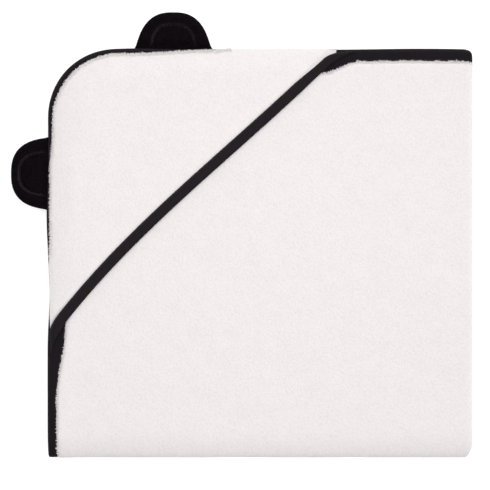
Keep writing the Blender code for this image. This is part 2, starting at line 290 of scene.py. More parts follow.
def sheet_faces(rows, columns):
    """A closed sheet: an upper grid, a lower grid after it, and the walls between their borders."""
    count = rows * columns
    top = grid_faces(rows, columns, flip=True)
    under = grid_faces(rows, columns, first=count)
    index = np.arange(count).reshape(rows, columns)
    border = np.concatenate([index[0, :-1], index[:-1, -1], index[-1, :0:-1], index[:0:-1, 0]])
    following = np.roll(border, -1)
    wall = np.stack([border, following, following + count, border + count], axis=-1)
    return np.concatenate([top, under, wall])


def ring_faces(rows, columns):
    """A closed skin: rings of points one after another, with a face over the first and the last."""
    faces = grid_faces(rows, columns, wrap_columns=True).tolist()
    faces.append(list(range(columns))[::-1])
    faces.append(list(range((rows - 1) * columns, rows * columns)))
    return faces


def check_outward(piece):
    """Turn a closed mesh right side out, by the sign of its volume."""
    mesh = piece.data
    mesh.calc_loop_triangles()
    triangles = np.zeros(len(mesh.loop_triangles) * 3, int)
    mesh.loop_triangles.foreach_get("vertices", triangles)
    points = np.zeros(len(mesh.vertices) * 3, np.float32)
    mesh.vertices.foreach_get("co", points)
    a, b, c = points.reshape(-1, 3).astype(float)[triangles.reshape(-1, 3)].transpose(1, 0, 2)
    if np.einsum("ij,ij->i", a, np.cross(b, c)).sum() < 0:
        mesh.flip_normals()
    return piece


def clear_selection():
    for thing in bpy.context.selected_objects:
        thing.select_set(False)


def take_shape(thing):
    """The points and faces of a modelled shape, which is then removed."""
    points = np.array([vertex.co for vertex in thing.data.vertices])
    faces = [list(face.vertices) for face in thing.data.polygons]
    mesh = thing.data
    bpy.data.objects.remove(thing, do_unlink=True)
    bpy.data.meshes.remove(mesh)
    return points, faces


def grain_shape(segments, rings, start):
    """A soft grain one unit long and one unit thick, which lies along X from start."""
    clear_selection()
    bpy.ops.mesh.primitive_uv_sphere_add(segments=segments, ring_count=rings, radius=0.5)
    grain = bpy.context.object
    bpy.ops.object.mode_set(mode="EDIT")
    bpy.ops.mesh.select_all(action="SELECT")
    bpy.ops.transform.rotate(value=math.pi / 2, orient_axis="Y", center_override=(0, 0, 0))
    bpy.ops.transform.translate(value=(start + 0.5, 0, 0))
    bpy.ops.object.mode_set(mode="OBJECT")
    return take_shape(grain)


def stitch_shape():
    return grain_shape(6, 4, -0.5)


def loop_shape():
    """One loop of the pile, which rises from its root and bends down again."""
    points, faces = grain_shape(5, 5, 0.0)
    points[:, 2] += 1.4 * points[:, 0] * (1 - points[:, 0])
    return points, faces


def repeat_faces(faces, points_each, copies):
    """The faces of many copies of one shape, whose points follow each other."""
    return [[index + copy * points_each for index in face] for copy in range(copies) for face in faces]


def lay_copies(shape, starts, forward, side, size):
    """Copies of a shape laid on a plane: their points in the plane and their heights above it."""
    scaled = shape[None] * size[:, None]
    flat = starts[:, None] + forward[:, None] * scaled[..., :1] + side[:, None] * scaled[..., 1:2]
    return flat, scaled[..., 2]


def with_heights(flat, height):
    """Points from their places on a plane and their heights above it."""
    return np.concatenate([flat, height[..., None]], axis=-1).reshape(-1, 3)


def lengths_along(points):
    return np.concatenate([[0.0], np.cumsum(np.linalg.norm(np.diff(points, axis=0), axis=1))])


def spaced(points, inward, spacing):
    """Even places along a line: how far along, points, inward directions and forward directions."""
    along = lengths_along(points)
    at = np.arange(spacing / 2, along[-1], spacing)
    place = np.stack([np.interp(at, along, points[:, axis]) for axis in (0, 1)], axis=-1)
    side = np.stack([np.interp(at, along, inward[:, axis]) for axis in (0, 1)], axis=-1)
    side /= np.linalg.norm(side, axis=1, keepdims=True)
    forward = np.stack([side[:, 1], -side[:, 0]], axis=-1)
    return at, place, side, forward


def finish_piece(piece, slot, *nodes):
    """Hide the CAD nodes that a piece stands for; slot, the name of its finish, is not used."""
    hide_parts(*nodes)
    return piece


# ---- Finishes ----
def put(tree, kind, inputs=None, **settings):
    """Add a node with its settings. An input that is a socket is linked, and any other is set."""
    made = tree.nodes.new(kind)
    for name, value in settings.items():
        setattr(made, name, value)
    for name, value in (inputs or {}).items():
        if isinstance(value, bpy.types.NodeSocket):
            tree.links.new(value, made.inputs[name])
        else:
            made.inputs[name].default_value = value
    return made


def calculate(tree, way, first, second=0.0, third=0.0):
    return put(tree, "ShaderNodeMath", {0: first, 1: second, 2: third}, operation=way).outputs[0]


def map_range(tree, value, low, high, to_low=0.0, to_high=1.0):
    inputs = {"Value": value, "From Min": low, "From Max": high, "To Min": to_low, "To Max": to_high}
    return put(tree, "ShaderNodeMapRange", inputs).outputs["Result"]


def mix_colours(tree, share, first, second, way="MIX"):
    made = put(tree, "ShaderNodeMix", {0: share, 6: first, 7: second}, data_type="RGBA", blend_type=way)
    return made.outputs[2]


def scale_place(tree, place, scale):
    return put(tree, "ShaderNodeVectorMath", {0: place, "Scale": scale}, operation="SCALE").outputs[0]


def noise(tree, place, scale, detail, way="Fac"):
    inputs = {"Vector": place, "Scale": scale, "Detail": detail}
    return put(tree, "ShaderNodeTexNoise", inputs).outputs[way]


def effect(name, inputs, outputs, build):
    """A shader node group, built once. build makes its nodes and gives its outputs by name."""
    tree = bpy.data.node_groups.get(name)
    if tree:
        return tree
    tree = bpy.data.node_groups.new(name, "ShaderNodeTree")
    for label, kind, default in inputs:
        socket = tree.interface.new_socket(name=label, in_out="INPUT", socket_type=kind)
        if default is not None:
            socket.default_value = default
    for label, kind in outputs:
        tree.interface.new_socket(name=label, in_out="OUTPUT", socket_type=kind)
    given = tree.nodes.new("NodeGroupInput")
    result = tree.nodes.new("NodeGroupOutput")
    for label, socket in build(tree, given.outputs).items():
        tree.links.new(socket, result.inputs[label])
    return tree


def pile_effect():
    """Short soft loops or hairs that stand close together, each a little dome."""

    def build(tree, given):
        scale = calculate(tree, "DIVIDE", 1.0, given["Size"])
        unit = scale_place(tree, given["Place"], scale)
        stray = noise(tree, unit, 0.55, 1.0, "Color")
        moved = scale_place(tree, stray, 1.6)
        bent = put(tree, "ShaderNodeVectorMath", {0: unit, 1: moved}, operation="ADD").outputs[0]
        cells = put(tree, "ShaderNodeTexVoronoi", {"Vector": bent, "Scale": 1.0}, feature="SMOOTH_F1")
        dome = map_range(tree, cells.outputs["Distance"], 0.75, 0.10)
        yarn = noise(tree, bent, 3.2, 2.0)
        clumps = noise(tree, unit, 0.23, 2.0)
        rough = calculate(tree, "MULTIPLY_ADD", yarn, 0.45, dome)
        height = calculate(tree, "MULTIPLY_ADD", clumps, 0.9, rough)
        reach = calculate(tree, "MULTIPLY", given["Size"], given["Depth"])
        bump = put(tree, "ShaderNodeBump", {"Height": height, "Distance": reach, "Strength": 1.0})
        # Tops: 1 on the domes' tops and 0 between them; the finishes paint shade between the domes by it
        tops = map_range(tree, calculate(tree, "MULTIPLY_ADD", yarn, 0.5, dome), 0.25, 1.15)
        return {"Tops": tops, "Normal": bump.outputs["Normal"]}

    inputs = [
        ("Place", "NodeSocketVector", None),
        ("Size", "NodeSocketFloat", 0.0017),
        ("Depth", "NodeSocketFloat", 0.35),
    ]
    return effect("Pile", inputs, [("Tops", "NodeSocketFloat"), ("Normal", "NodeSocketVector")], build)


def weave_effect():
    """Plain weave: threads that pass over and under each other."""

    def build(tree, given):
        turns = calculate(tree, "DIVIDE", 2 * math.pi, given["Pitch"])
        stray = calculate(tree, "MULTIPLY", noise(tree, given["Place"], 900.0, 1.0), 1.3)
        axes = put(tree, "ShaderNodeSeparateXYZ", {0: given["Place"]})
        waves = []
        for axis in (0, 1):
            angle = calculate(tree, "MULTIPLY_ADD", axes.outputs[axis], turns, stray)
            waves.append(calculate(tree, "SINE", angle))
        crossing = calculate(tree, "MULTIPLY", waves[0], waves[1])
        threads = map_range(tree, crossing, -1.0, 1.0)
        reach = calculate(tree, "MULTIPLY", given["Pitch"], 0.22)
        bump = put(tree, "ShaderNodeBump", {"Height": threads, "Distance": reach, "Strength": 0.8})
        return {"Threads": threads, "Normal": bump.outputs["Normal"]}

    inputs = [("Place", "NodeSocketVector", None), ("Pitch", "NodeSocketFloat", 0.00045)]
    outputs = [("Threads", "NodeSocketFloat"), ("Normal", "NodeSocketVector")]
    return effect("Plain Weave", inputs, outputs, build)


def mottle_effect():
    """Slow uneven light and dark over a colour."""

    def build(tree, given):
        scale = calculate(tree, "DIVIDE", 1.0, given["Size"])
        blotches = noise(tree, given["Place"], scale, 3.0)
        dark = map_range(tree, blotches, 0.3, 0.7, given["Low"], 1.0)
        return {"Colour": mix_colours(tree, 1.0, given["Colour"], dark, "MULTIPLY")}

    inputs = [
        ("Colour", "NodeSocketColor", (1, 1, 1, 1)),
        ("Place", "NodeSocketVector", None),
        ("Size", "NodeSocketFloat", 0.02),
        ("Low", "NodeSocketFloat", 0.96),
    ]
    return effect("Mottle", inputs, [("Colour", "NodeSocketColor")], build)


def painted_highlight_effect():
    """A painted highlight: a lighter second colour, in patches, where a piece's attribute says."""

    def build(tree, given):
        patchy = map_range(tree, noise(tree, given["Place"], 420.0, 3.0), 0.30, 0.62, 0.45, 1.0)
        share = calculate(tree, "MULTIPLY", given["Wear"], patchy)
        return {"Colour": mix_colours(tree, share, given["Colour"], given["Worn"])}

    inputs = [
        ("Colour", "NodeSocketColor", (0, 0, 0, 1)),
        ("Worn", "NodeSocketColor", (0.1, 0.1, 0.1, 1)),
        ("Wear", "NodeSocketFloat", 0.0),
        ("Place", "NodeSocketVector", None),
    ]
    return effect("Edge Wear", inputs, [("Colour", "NodeSocketColor")], build)


def place_effect(tree, group, inputs):
    return put(tree, "ShaderNodeGroup", inputs, node_tree=group).outputs


def mottled(tree, colour, place, size, low):
    inputs = {"Colour": colour, "Place": place, "Size": size, "Low": low}
    return place_effect(tree, mottle_effect(), inputs)["Colour"]


def painted_highlight(tree, colour, highlight_colour, place):
    """A colour lightened towards a painted highlight where the piece's attribute says."""
    wear = put(tree, "ShaderNodeAttribute", attribute_name="wear").outputs["Fac"]
    inputs = {"Colour": colour, "Worn": opaque(highlight_colour), "Wear": wear, "Place": place}
    return place_effect(tree, painted_highlight_effect(), inputs)["Colour"]


def opaque(tone):
    return (*tone, 1.0)


def new_finish(name, roughness, specular, sheen=0.0, sheen_roughness=0.5, sheen_tint=(1, 1, 1)):
    """A material with its shader's plain values set: the material, its node tree and its shader."""
    material = bpy.data.materials.new(name)
    material.use_nodes = True
    tree = material.node_tree
    shader = tree.nodes["Principled BSDF"]
    shader.inputs["Roughness"].default_value = roughness
    shader.inputs["Specular IOR Level"].default_value = specular
    shader.inputs["Sheen Weight"].default_value = sheen
    shader.inputs["Sheen Roughness"].default_value = sheen_roughness
    shader.inputs["Sheen Tint"].default_value = opaque(sheen_tint)
    return material, tree, shader


def made_once(name):
    """Make a finish at its first use, and give the same material afterwards."""

    def keep(build):
        return lambda context: bpy.data.materials.get(name) or build(context, name)

    return keep


def connect(tree, shader, base, normal):
    tree.links.new(base, shader.inputs["Base Color"])
    tree.links.new(normal, shader.inputs["Normal"])


@made_once("White Terry")
def terry_finish(context, name):
    """White cotton loops, with painted shade between them."""
    cloth = context.scene.towel_cloth
    material, tree, shader = new_finish(name, 0.92, 0.15, sheen=0.10)
    place = put(tree, "ShaderNodeUVMap", uv_map="cloth").outputs["UV"]
    pile = place_effect(tree, pile_effect(), {"Place": place, "Size": cloth.loop, "Depth": 0.065})
    # painted shade between the loops, where the pile's Tops mask is low
    base = mix_colours(tree, pile["Tops"], opaque(cloth.shade), opaque(cloth.terry))
    connect(tree, shader, mottled(tree, base, place, 0.014, 0.980), pile["Normal"])
    return material


@made_once("Black Tape")
def tape_finish(context, name):
    """Black cotton tape in plain weave, with a painted highlight along its fold and lip and painted
    shade between the weave's threads.
    """
    tape = context.scene.towel_tape
    material, tree, shader = new_finish(name, 0.72, 0.12, sheen=0.015, sheen_roughness=0.4)
    place = put(tree, "ShaderNodeUVMap", uv_map="cloth").outputs["UV"]
    weave = place_effect(tree, weave_effect(), {"Place": place, "Pitch": tape.weave})
    # painted highlight along the tape's fold and lip
    base = painted_highlight(tree, opaque(tape.black), tape.painted_highlight, place)
    # painted shade: the tape darker between the weave's threads, where the Threads mask is low
    painted_weave_shade = mix_colours(tree, weave["Threads"], (0.62, 0.62, 0.62, 1.0), (1.0, 1.0, 1.0, 1.0))
    base = mix_colours(tree, 1.0, base, painted_weave_shade, "MULTIPLY")
    connect(tree, shader, mottled(tree, base, place, 0.009, 0.80), weave["Normal"])
    return material


@made_once("Black Thread")
def thread_finish(context, name):
    """Black sewing thread, with its twist and painted shade in the twist's grooves."""
    tape = context.scene.towel_tape
    material, tree, shader = new_finish(name, 0.55, 0.40)
    place = put(tree, "ShaderNodeTexCoord").outputs["Object"]
    inputs = {"Vector": place, "Scale": 2600.0, "Distortion": 1.5}
    twist = put(tree, "ShaderNodeTexWave", inputs, bands_direction="DIAGONAL").outputs["Fac"]
    bump = put(tree, "ShaderNodeBump", {"Height": twist, "Distance": 0.00006, "Strength": 0.7})
    # painted shade: the thread darker in the grooves of its twist, where the twist's bump is low
    dark = tuple(0.55 * part for part in tape.thread)
    base = mix_colours(tree, twist, opaque(dark), opaque(tape.thread))
    connect(tree, shader, base, bump.outputs["Normal"])
    return material


@made_once("Black Plush")
def plush_finish(context, name):
    """Black plush with a short pile, with painted highlights on the pile's tips and along the arc's
    ridge.
    """
    ears = context.scene.towel_ears
    material, tree, shader = new_finish(name, 0.95, 0.04, sheen=0.012, sheen_tint=(0.5, 0.42, 0.5))
    place = put(tree, "ShaderNodeTexCoord").outputs["Object"]
    pile = place_effect(tree, pile_effect(), {"Place": place, "Size": 0.0011, "Depth": 0.45})
    # painted highlight on the pile's tips, where the Tops mask is high
    base = mix_colours(tree, pile["Tops"], opaque(ears.plush), opaque(ears.tip))
    # painted highlight along the arc's ridge
    base = painted_highlight(tree, base, ears.ridge, place)
    connect(tree, shader, mottled(tree, base, place, 0.007, 0.70), pile["Normal"])
    return material


@made_once("Wadding")
def wadding_finish(context, name):
    """White polyester fibres."""
    ears = context.scene.towel_ears
    material, tree, shader = new_finish(name, 0.9, 0.25, sheen=0.2)
    place = put(tree, "ShaderNodeTexCoord").outputs["Object"]
    inputs = {"Vector": place, "Scale": 320.0, "Detail": 6.0, "Distortion": 2.5}
    fibres = put(tree, "ShaderNodeTexNoise", inputs).outputs["Fac"]
    bump = put(tree, "ShaderNodeBump", {"Height": fibres, "Distance": 0.0006, "Strength": 0.8})
    # painted shade: the wadding darker where the fibres' bump is low
    dark = tuple(0.78 * part for part in ears.wadding)
    base = mix_colours(tree, fibres, opaque(dark), opaque(ears.wadding))
    connect(tree, shader, base, bump.outputs["Normal"])
    return material


# ---- Cloth that is folded in four ----
# Where the edge is drawn out of its line: distance along the edge, and width of the pull
SIDE_EAR_PULL = (0.152, 0.030)  # down the left edge
TOP_EAR_PULL = (0.080, 0.022)  # across the top edge
HOOD_END_PULL = (0.226, 0.028)  # down the left edge


def hood_end_pull(across, down):
    """How far the left edge is drawn in beside the hood's side end, from the left and top edges."""
    return bpy.context.scene.towel_hood.end_pull * ramp(across, 0.060, 0.0) * hill(down, *HOOD_END_PULL)


def fold_cloth(across, down, off):
    """Flat cloth to the folded towel: points from the left edge, the top edge and the cloth's middle."""
    cloth = bpy.context.scene.towel_cloth
    stray_across = soft_noise(across, down, 0.085, 11)
    stray_down = soft_noise(across, down, 0.085, 12)
    across = across + cloth.wander * stray_across
    down = down + cloth.wander * stray_down
    past = across - STRAIGHT
    turn = np.clip(past / SIDE_BEND, 0, 1) * math.pi
    radius = BEND + off
    x = LEFT + np.minimum(across, STRAIGHT) + radius * np.sin(turn) - np.maximum(past - SIDE_BEND, 0)
    lift = PITCH + radius * np.cos(turn)
    past = down - DOWN
    tip = np.clip(past / BOTTOM_BEND, 0, 1) * math.pi
    y = TOP - np.minimum(down, DOWN) - lift * np.sin(tip) + np.maximum(past - BOTTOM_BEND, 0)
    x = x - cloth.ear_pull * ramp(across, 0.045, 0.0) * hill(down, *SIDE_EAR_PULL)
    y = y + 0.6 * cloth.ear_pull * ramp(down, 0.045, 0.0) * hill(across, *TOP_EAR_PULL)
    x = x + hood_end_pull(np.maximum(x - LEFT, 0.0), TOP - y)
    from_nose = np.maximum(y - (HINGE_Y - STACK), 1e-6)
    slim = quarter_round(from_nose, cloth.nose) / quarter_round(from_nose, STACK)
    x = x - cloth.tight_corner * ramp(from_nose, 0.013, 0.0) * ramp(x, RIGHT - 0.016, RIGHT)
    into_corner = np.clip(1 - (RIGHT - x) / cloth.taped_corner, 0, 0.97)
    from_end = np.minimum(down, FLAT_HEIGHT - down)
    drawn_in = 0.7 * cloth.taped_corner * (1 - np.sqrt(1 - into_corner**2))
    y = y - drawn_in * ramp(from_end, 0.020, 0.004)
    return np.stack([x, y, HINGE_Z + lift * np.cos(tip) * slim], axis=-1)


def edge_distance(across, down, radius):
    """Distance from a point of the flat towel to its rounded outline."""
    in_x = np.minimum(across, FLAT_WIDTH - across)
    in_y = np.minimum(down, FLAT_HEIGHT - down)
    in_corner = (in_x < radius) & (in_y < radius)
    to_arc = radius - np.hypot(radius - in_x, radius - in_y)
    return np.where(in_corner, to_arc, np.minimum(in_x, in_y))


def tape_width(across, down):
    """Width of the edge tape beside a place on the flat towel.

    It spreads where the hood's tape runs into it, and is narrower low on the left edge.
    """
    tape, leg = bpy.context.scene.towel_tape, bpy.context.scene.towel_hood.leg
    in_x = np.minimum(across, FLAT_WIDTH - across)
    in_y = np.minimum(down, FLAT_HEIGHT - down)
    on_left = (across < FLAT_WIDTH / 2) & (in_x < in_y)
    on_top = (down < FLAT_HEIGHT / 2) & (in_y <= in_x)
    from_hood, below_hood = across - leg, down - leg  # past the hood's top end and its side end
    top = ramp(from_hood, 0.0125, -0.0215) * ramp(from_hood, -0.0575, -0.0335)
    side = ramp(below_hood, 0.0535, -0.0215) * ramp(below_hood, -0.0665, -0.0395)
    slim = ramp(below_hood, -0.0095, 0.0465) * ramp(down, FLAT_HEIGHT - 0.08, FLAT_HEIGHT - 0.12)
    width = tape.width + on_top * tape.top_spread * top + on_left * tape.side_spread * side
    width -= on_left * (tape.width - tape.side_width) * slim
    return width + 0.25 * MM * soft_noise(across + down, across - down, 0.017, 31)


# The rows beside an edge, in millimetres from the sheet's first row: closest where the tape ends
EDGE_ROWS = (0, 3.0, 5.0, 6.2, 7.2, 8.2, 9.2, 10.2, 11.2, 12.3, 13.6, 15.0, 16.6, 18.6)


def cuts(total, bend_start, bend_length, bend_count, steps, edge):
    """Places of the sheet's rows: close together beside the tape and in a bend."""
    near = edge + MM * np.array(EDGE_ROWS)
    inner = near[-1]
    first = np.linspace(inner, bend_start, round((bend_start - inner) / steps[0]) + 1)[1:-1]
    bend = np.linspace(bend_start, bend_start + bend_length, bend_count)
    rest = total - inner - bend[-1]
    last = np.linspace(bend[-1], total - inner, round(rest / steps[1]) + 1)[1:-1]
    return np.concatenate([near, first, bend, last, total - near[::-1]])


def round_corners(across, down, radius, edge):
    """Draw the corners of a square grid in to the towel's rounded corners."""
    inner = radius - edge
    from_x = np.clip((radius - np.minimum(across, FLAT_WIDTH - across)) / inner, 0, 1)
    from_y = np.clip((radius - np.minimum(down, FLAT_HEIGHT - down)) / inner, 0, 1)
    pull_x = inner * from_x * (1 - np.sqrt(1 - from_y**2 / 2))
    pull_y = inner * from_y * (1 - np.sqrt(1 - from_x**2 / 2))
    return (
        across + np.where(across < FLAT_WIDTH / 2, pull_x, -pull_x),
        down + np.where(down < FLAT_HEIGHT / 2, pull_y, -pull_y),
    )


def shows_outside(across):
    """1 on the layers whose face shows when the towel is folded, 0 on those inside the stack."""
    return ramp(across, STRAIGHT + SIDE_BEND, STRAIGHT)


def terry_half(distance, taped):
    """Half the thickness of the terry: squeezed under the tape, then full."""
    squeezed = 0.55 * MM
    return squeezed + (TERRY / 2 - squeezed) * ramp(distance, taped - 0.4 * MM, taped + 2.2 * MM)


def swell(distance, taped, plump):
    """How much higher the terry stands beside the tape."""
    rise = ramp(distance, taped + 0.5 * MM, taped + 4 * MM)
    return plump * rise * ramp(distance, taped + 16 * MM, taped + 5 * MM)


def uneven(x, y):
    """The soft unevenness of washed terry, from -1 to 1."""
    wide = soft_noise(x, y, 0.046, 21)
    middling = soft_noise(x + 0.4 * y, y - 0.3 * x, 0.019, 22)
    fine = soft_noise(x, y, 0.0085, 23)
    return 0.50 * wide + 0.28 * middling + 0.22 * fine


def make_panel(context):
    cloth = context.scene.towel_cloth
    edge = 2 * MM
    columns = cuts(FLAT_WIDTH, STRAIGHT, SIDE_BEND, 9, (cloth.step, cloth.hidden_step), edge)
    rows = cuts(FLAT_HEIGHT, DOWN, BOTTOM_BEND, 18, (cloth.step, cloth.step), edge)
    across, down = np.meshgrid(columns, rows)
    across, down = round_corners(across, down, cloth.corner_radius, edge)
    distance = edge_distance(across, down, cloth.corner_radius)
    taped = tape_width(across, down)
    half = terry_half(distance, taped)
    outside = shows_outside(across)
    bumps = uneven(across, down) * cloth.relief * ramp(distance, 0.008, 0.014)
    puff = swell(distance, taped, cloth.plump)
    lying = ramp(down, DOWN, DOWN + BOTTOM_BEND)  # the underside is flat where it lies
    over = half + (bumps + puff - lying * (np.abs(bumps) + bumps + puff)) * outside
    over -= (1 - outside) * (0.10 * MM + 0.4 * np.abs(bumps))
    under = -half + 0.06 * MM + 0.3 * np.abs(bumps)
    points = [fold_cloth(across, down, off).reshape(-1, 3) for off in (over, under)]
    uv = np.tile(np.stack([across, down], axis=-1).reshape(-1, 2), (2, 1))
    faces = sheet_faces(*across.shape)
    panel = new_object("towel_panel", np.concatenate(points), faces, terry_finish(context), uv)
    finish_piece(panel, "white_terry", "panel_upper", "panel_lower", "panel_fold")
    return split_at_fold(check_outward(panel))


def split_at_fold(piece):
    """Keep a piece's points a little above or below the bottom fold's middle height, and bake its
    transform.
    """
    keep_off = 0.05 * MM
    for vertex in piece.data.vertices:
        above = vertex.co.z - HINGE_Z
        if abs(above) < 2 * keep_off:
            vertex.co.z = HINGE_Z + math.copysign(2 * keep_off, above)
    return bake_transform(piece)


# ---- Tape, stitches and loops along the towel's edge ----
def side_stations(start, end, step, bend, bend_step):
    """Places along a straight side from start to end, closer together over the bend it crosses."""
    low, high = min(start, end), max(start, end)
    parts = [(low, bend[0], step), (bend[0], bend[1], bend_step), (bend[1], high, step)]
    places = [np.linspace(a, b, max(2, round((b - a) / size) + 1))[:-1] for a, b, size in parts]
    places = np.append(np.concatenate(places), high)
    return places if end > start else places[::-1]


def towel_outline(radius, step=0.003, bend_step=0.0009):
    """Stations round the flat towel from its top left: points and inward directions."""
    side, bottom = (STRAIGHT, STRAIGHT + SIDE_BEND), (DOWN, DOWN + BOTTOM_BEND)
    far_x, far_y = FLAT_WIDTH - radius, FLAT_HEIGHT - radius
    turns = np.linspace(0, math.pi / 2, round(radius * math.pi / 2 / step) + 1)[1:-1]
    points, inward = [], []

    def straight(places, fixed, horizontal, direction):
        line = np.full_like(places, fixed)
        points.append(np.stack([places, line] if horizontal else [line, places], axis=-1))
        inward.append(np.tile(direction, (len(places), 1)))

    def corner(centre, first_angle):
        arm = np.stack([np.cos(turns + first_angle), np.sin(turns + first_angle)], axis=-1)
        points.append(np.array(centre) + radius * arm)
        inward.append(-arm)

    straight(side_stations(radius, far_x, step, side, bend_step), 0.0, True, (0.0, 1.0))
    corner((far_x, radius), -math.pi / 2)
    straight(side_stations(radius, far_y, step, bottom, bend_step), FLAT_WIDTH, False, (-1.0, 0.0))
    corner((far_x, far_y), 0.0)
    straight(side_stations(far_x, radius, step, side, bend_step), FLAT_HEIGHT, True, (0.0, -1.0))
    corner((radius, far_y), math.pi / 2)
    straight(side_stations(far_y, radius, step, bottom, bend_step), 0.0, False, (1.0, 0.0))
    corner((radius, radius), math.pi)
    return np.concatenate(points), np.concatenate(inward)


def tape_section(width, tape, highlight_on_lip):
    """The tape's folded section at each station: distances from its fold, heights, and the share of a
    painted highlight.

    The outer skin runs from the upper lip round the fold to the lower lip, and the inner skin back.
    """
    half, thick = tape.half, tape.thickness
    shares = np.array([1.0, 0.985, 0.93, 0.86, 0.76, 0.60, 0.40, 0.20])
    lips = np.array([0.30, 0.07, 0, 0, 0, 0, 0, 0]) * MM
    ridge = np.array([0.5, 0.9, 1.0, 0.55, 0.15, 0.5, 0.85, 0.55]) * tape.crown
    angles = np.radians([70, 42, 14, -14, -42, -70])
    width = width[:, None]
    count, flats = len(width), len(shares)

    def skin(radius, lip_in):
        flat = radius + shares * (width - lip_in - radius)
        arc = np.broadcast_to(radius * (1 - np.cos(angles)), (count, len(angles)))
        up = np.broadcast_to(radius + ridge, (count, flats))
        rise = np.broadcast_to(radius * np.sin(angles), (count, len(angles)))
        down = np.full((count, flats), -radius)
        return np.hstack([flat, arc, flat[:, ::-1]]), np.hstack([up, rise, down])

    outer, outer_height = skin(half, 0.0)
    inner, inner_height = skin(half - thick, 0.12 * MM)
    outer_height[:, :flats] -= lips
    outer_height[:, -flats:] += lips[::-1]
    inner += thick
    inner[:, :flats] -= thick * shares
    inner[:, -flats:] -= thick * shares[::-1]
    from_lip = width - outer
    # painted highlight: lighter on the outer fold and just inside the lip, most on the fold for the
    # edge's tape and on the lip for the hood's
    fold_highlight = ramp(outer, 2.0 * MM, 0.2 * MM)
    lip_highlight = ramp(from_lip, 2.2 * MM, 0.9 * MM) * ramp(from_lip, -0.2 * MM, 0.5 * MM)
    wear = np.maximum(fold_highlight * (0.35 if highlight_on_lip else 1.0), lip_highlight * (1.0 if highlight_on_lip else 0.35))
    return (
        np.hstack([outer, inner[:, ::-1]]),
        np.hstack([outer_height, inner_height[:, ::-1]]),
        np.hstack([wear, np.zeros_like(inner)]),
    )


# The share of the painted highlight, kept as an attribute of the piece's points
def set_painted_highlight(piece, wear):
    attribute = piece.data.attributes.new("wear", "FLOAT", "POINT")
    attribute.data.foreach_set("value", np.asarray(wear, np.float32).ravel())


def strip_uv(along, distance, height):
    """UV of a swept section in metres: along the strip, and round its skin."""
    middle = len(distance) // 2
    skin = lengths_along(np.stack([distance[middle], height[middle]], axis=-1))
    return np.stack(np.meshgrid(along, skin, indexing="ij"), axis=-1).reshape(-1, 2)


def make_edge_tape(context):
    tape, cloth = context.scene.towel_tape, context.scene.towel_cloth
    points, inward = towel_outline(cloth.corner_radius)
    along = lengths_along(points)
    distance, height, wear = tape_section(tape_width(points[:, 0], points[:, 1]), tape, highlight_on_lip=False)
    uv = strip_uv(along, distance, height)
    height = height + 0.10 * MM * soft_noise(along[:, None], distance, 0.012, 32) * (height > 0)
    flat = points[:, None] + inward[:, None] * distance[..., None]
    folded = fold_cloth(flat[..., 0], flat[..., 1], height).reshape(-1, 3)
    faces = grid_faces(*distance.shape, wrap_rows=True, wrap_columns=True)
    piece = new_object("edge_tape", folded, faces, tape_finish(context), uv)
    set_painted_highlight(piece, wear)
    halves = ("edge_binding_upper", "edge_binding_lower")
    finish_piece(piece, "black_tape", *halves, "edge_binding_fold_outer", "edge_binding_fold_inner")
    return split_at_fold(check_outward(piece))


def make_edge_stitches(context):
    tape, cloth = context.scene.towel_tape, context.scene.towel_cloth
    points, inward = towel_outline(cloth.corner_radius)
    at, place, side, forward = spaced(points, inward, tape.stitch + tape.gap)
    inset = tape_width(place[:, 0], place[:, 1]) - tape.inset
    shape, faces = stitch_shape()
    size = np.tile([tape.stitch, tape.thread_size, 0.8 * tape.thread_size], (len(at), 1))
    flat, height = lay_copies(shape, place + side * inset[:, None], forward, side, size)
    lift = tape.half + 0.5 * tape.crown + 0.08 * MM
    folded = fold_cloth(flat[..., 0], flat[..., 1], height + lift).reshape(-1, 3)
    faces = repeat_faces(faces, len(shape), len(at))
    piece = new_object("edge_stitches", folded, faces, thread_finish(context))
    finish_piece(piece, "black_thread", "edge_stitching_upper", "edge_stitching_lower")
    return split_at_fold(check_outward(piece))


# Lanes of loops, in millimetres: their spacing, how far in from the edge they root, and their lift
EDGE_LANES = ((0.8, 0.9, 0.00), (0.9, 1.5, 0.30), (1.2, 2.3, 0.45))
HOOD_LANES = ((0.8, 0.5, 0.20), (0.8, 0.7, 0.75), (0.9, 1.2, 1.45), (1.1, 2.0, 2.30))
LOOP_SHRINK = 0.72  # washed loops against new ones


def loop_sizes(rng, count):
    """Random lengths and thicknesses of the loops that flop over the tape."""
    long = rng.uniform(1.9, 3.0, count) * MM * LOOP_SHRINK
    thick = rng.uniform(0.75, 1.15, count) * MM * LOOP_SHRINK
    return np.stack([long, thick, 0.8 * thick], axis=-1)


def pointing_out(forward, side, rng, spread):
    """Directions out over the tape, each turned by a random angle, and the directions across them."""
    angle = rng.normal(0.0, spread, len(side))[:, None]
    out = forward * np.sin(angle) - side * np.cos(angle)
    return out, np.stack([-out[:, 1], out[:, 0]], axis=-1)


